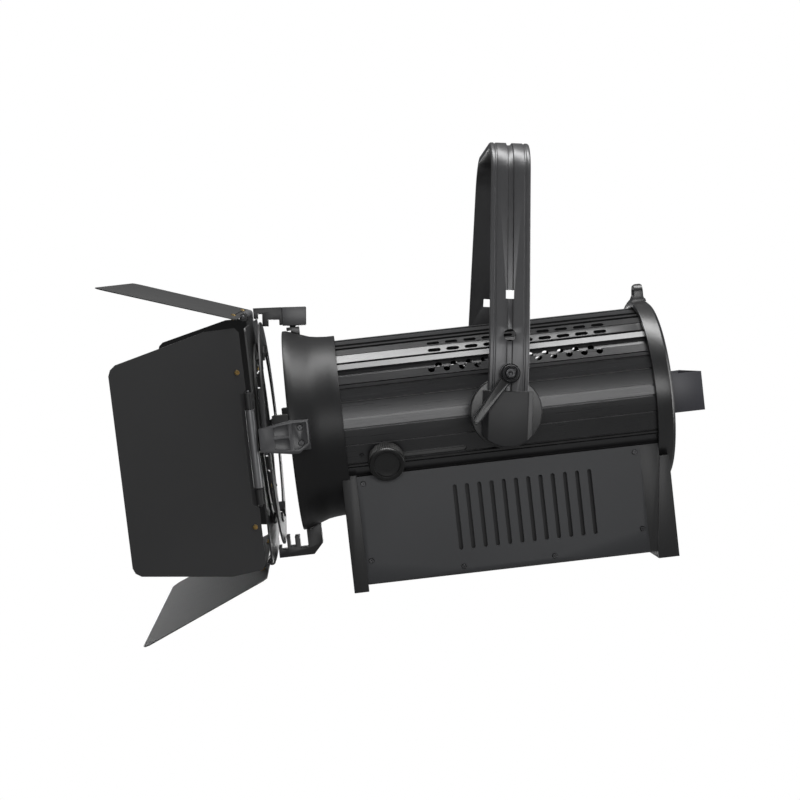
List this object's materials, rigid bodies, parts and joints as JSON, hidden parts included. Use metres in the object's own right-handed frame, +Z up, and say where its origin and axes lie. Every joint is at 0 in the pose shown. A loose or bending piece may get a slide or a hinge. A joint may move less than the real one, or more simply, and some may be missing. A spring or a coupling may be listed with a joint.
{
  "type": "zoom spotlight with barn doors",
  "caption": "Stage zoom spotlight: ribbed barrel with Fresnel lens over a driver box, rotating barn door with hinged leaves, tilting in a bent flat-bar yoke with a lock lever.",
  "frame": {"origin": "centre of the clamp hole in the top of the yoke, at the bottom of the yoke's slot", "axes": "+Z up along the clamp hole; the beam points to -X, tilted 8 degrees down at rest; +Y is the side away from the lock lever; the tilt axis is along Y"},
  "size_m": [0.7871, 0.5252, 0.6547],
  "materials": {
    "black_paint": "satin black powder coat",
    "cast_black": "satin black cast aluminium, powder coated",
    "barrel_anodised": "black anodised extrusion",
    "yoke_anodised": "dark grey anodised extrusion",
    "panel_grey": "dark grey powder-coated sheet",
    "leaf_black": "matt black heat-resistant paint on sheet",
    "black_plastic": "black moulded plastic",
    "black_rubber": "black rubber",
    "dark_steel": "blackened steel screw",
    "bright_steel": "ground steel",
    "bare_aluminium": "mill-finish aluminium",
    "lens_glass": "clear pressed glass",
    "optic_glass": "clear moulded silicone glass",
    "display_glass": "dark display window",
    "led_white": "phosphor-coated light source on a white board",
    "board_green": "green circuit board",
    "supply_grey": "grey power supply block in a vented case",
    "blue_plastic": "blue power inlet"
  },
  "bodies": {
    "yoke": {"yoke_arch": "yoke_anodised", "end_covers": "cast_black", "pivot_bolts": "dark_steel", "friction_washers": "black_plastic", "brake_shoe": "dark_steel"},
    "lock_lever": {"tilt_lever": "cast_black", "lever_cap_screw": "dark_steel", "lever_spindle": "bright_steel"},
    "head": {"tilt_discs": "cast_black", "trunnion_blocks": "cast_black", "barrel_shell": "barrel_anodised", "front_collar": "cast_black", "lens_gasket": "black_rubber", "lens_ring": "black_paint", "fresnel_lens": "lens_glass", "rear_cap": "cast_black", "cap_screws": "dark_steel", "rear_grille": "black_paint", "safety_eye": "cast_black", "rear_handle": "panel_grey", "front_end_frame": "cast_black", "rear_end_frame": "cast_black", "bottom_tray": "panel_grey", "side_panels": "panel_grey", "panel_screws": "dark_steel", "power_supply": "supply_grey", "control_board": "board_green", "data_sockets": "black_plastic", "power_sockets": "blue_plastic", "connector_panel": "black_paint", "display_window": "display_glass", "guide_rods": "bright_steel", "rod_brackets": "bare_aluminium", "side_holders": "cast_black", "holder_screws": "dark_steel", "guide_pads": "black_rubber", "bottom_holder": "black_paint", "latch_post": "cast_black", "accessory_plate": "leaf_black"},
    "latch": {"latch_block": "cast_black", "latch_teeth": "black_paint"},
    "door_ring": {"turn_ring": "leaf_black", "door_frame": "leaf_black", "hinge_pins": "bright_steel"},
    "leaf_near": {"leaf_near": "leaf_black"},
    "leaf_far": {"leaf_far": "leaf_black"},
    "leaf_top": {"leaf_top": "leaf_black"},
    "leaf_bottom": {"leaf_bottom": "leaf_black"},
    "zoom_carriage": {"zoom_carriage": "bare_aluminium", "heat_sink": "bare_aluminium", "led_module": "led_white", "led_optic": "optic_glass", "fan_frame": "black_plastic"},
    "zoom_knob": {"zoom_knob": "black_plastic", "knob_shaft": "bright_steel"},
    "fan_rotor": {"fan_rotor": "black_plastic"},
    "menu_button_1": {"menu_button_1": "black_rubber"},
    "menu_button_2": {"menu_button_2": "black_rubber"},
    "menu_button_3": {"menu_button_3": "black_rubber"},
    "menu_button_4": {"menu_button_4": "black_rubber"}
  },
  "joints": [
    {"name": "head_tilt", "type": "hinge", "parent": "yoke", "child": "head", "pos_m": [0, 0, -0.345], "axis": [0, 1, 0], "range_deg": [-82, 50]},
    {"name": "lock_lever_turn", "type": "hinge", "parent": "yoke", "child": "lock_lever", "pos_m": [0, -0.19, -0.296], "axis": [0, -1, 0], "range_deg": [-40, 70]},
    {"name": "latch_lift", "type": "slide", "parent": "head", "child": "latch", "axis": [-0.1419, 0, 0.9899], "range_m": [0, 0.014], "stiffness_N_per_m": 400, "springref_m": -0.02},
    {"name": "door_turn", "type": "hinge", "parent": "head", "child": "door_ring", "pos_m": [-0.31478, 0, -0.39014], "axis": [0.9899, 0, 0.1419], "continuous": true},
    {"name": "leaf_near_swing", "type": "hinge", "parent": "door_ring", "child": "leaf_near", "pos_m": [-0.31333, -0.16088, -0.40024], "axis": [-0.1417, -0.0633, 0.9879], "range_deg": [-90, 60]},
    {"name": "leaf_far_swing", "type": "hinge", "parent": "door_ring", "child": "leaf_far", "pos_m": [-0.31623, 0.16088, -0.38003], "axis": [0.1417, 0.0633, -0.9879], "range_deg": [-90, 60]},
    {"name": "leaf_top_swing", "type": "hinge", "parent": "door_ring", "child": "leaf_top", "pos_m": [-0.33761, -0.01021, -0.23089], "axis": [-0.009, 0.998, 0.0627], "range_deg": [-34, 70]},
    {"name": "leaf_bottom_swing", "type": "hinge", "parent": "door_ring", "child": "leaf_bottom", "pos_m": [-0.29195, 0.01021, -0.54938], "axis": [0.009, -0.998, -0.0627], "range_deg": [-37, 67]},
    {"name": "zoom_slide", "type": "slide", "parent": "head", "child": "zoom_carriage", "axis": [0.9899, 0, 0.1419], "range_m": [0, 0.1]},
    {"name": "zoom_knob_turn", "type": "hinge", "parent": "zoom_carriage", "child": "zoom_knob", "pos_m": [-0.14705, -0.11126, -0.4115], "axis": [0.0532, -0.9272, -0.3708], "range_deg": [0, 180]},
    {"name": "fan_spin", "type": "hinge", "parent": "zoom_carriage", "child": "fan_rotor", "pos_m": [-0.05642, 0, -0.35309], "axis": [0.9899, 0, 0.1419], "continuous": true},
    {"name": "menu_button_1_press", "type": "slide", "parent": "head", "child": "menu_button_1", "axis": [-0.9899, 0, -0.1419], "range_m": [0, 0.0012], "stiffness_N_per_m": 300, "springref_m": -0.002},
    {"name": "menu_button_2_press", "type": "slide", "parent": "head", "child": "menu_button_2", "axis": [-0.9899, 0, -0.1419], "range_m": [0, 0.0012], "stiffness_N_per_m": 300, "springref_m": -0.002},
    {"name": "menu_button_3_press", "type": "slide", "parent": "head", "child": "menu_button_3", "axis": [-0.9899, 0, -0.1419], "range_m": [0, 0.0012], "stiffness_N_per_m": 300, "springref_m": -0.002},
    {"name": "menu_button_4_press", "type": "slide", "parent": "head", "child": "menu_button_4", "axis": [-0.9899, 0, -0.1419], "range_m": [0, 0.0012], "stiffness_N_per_m": 300, "springref_m": -0.002}
  ]
}
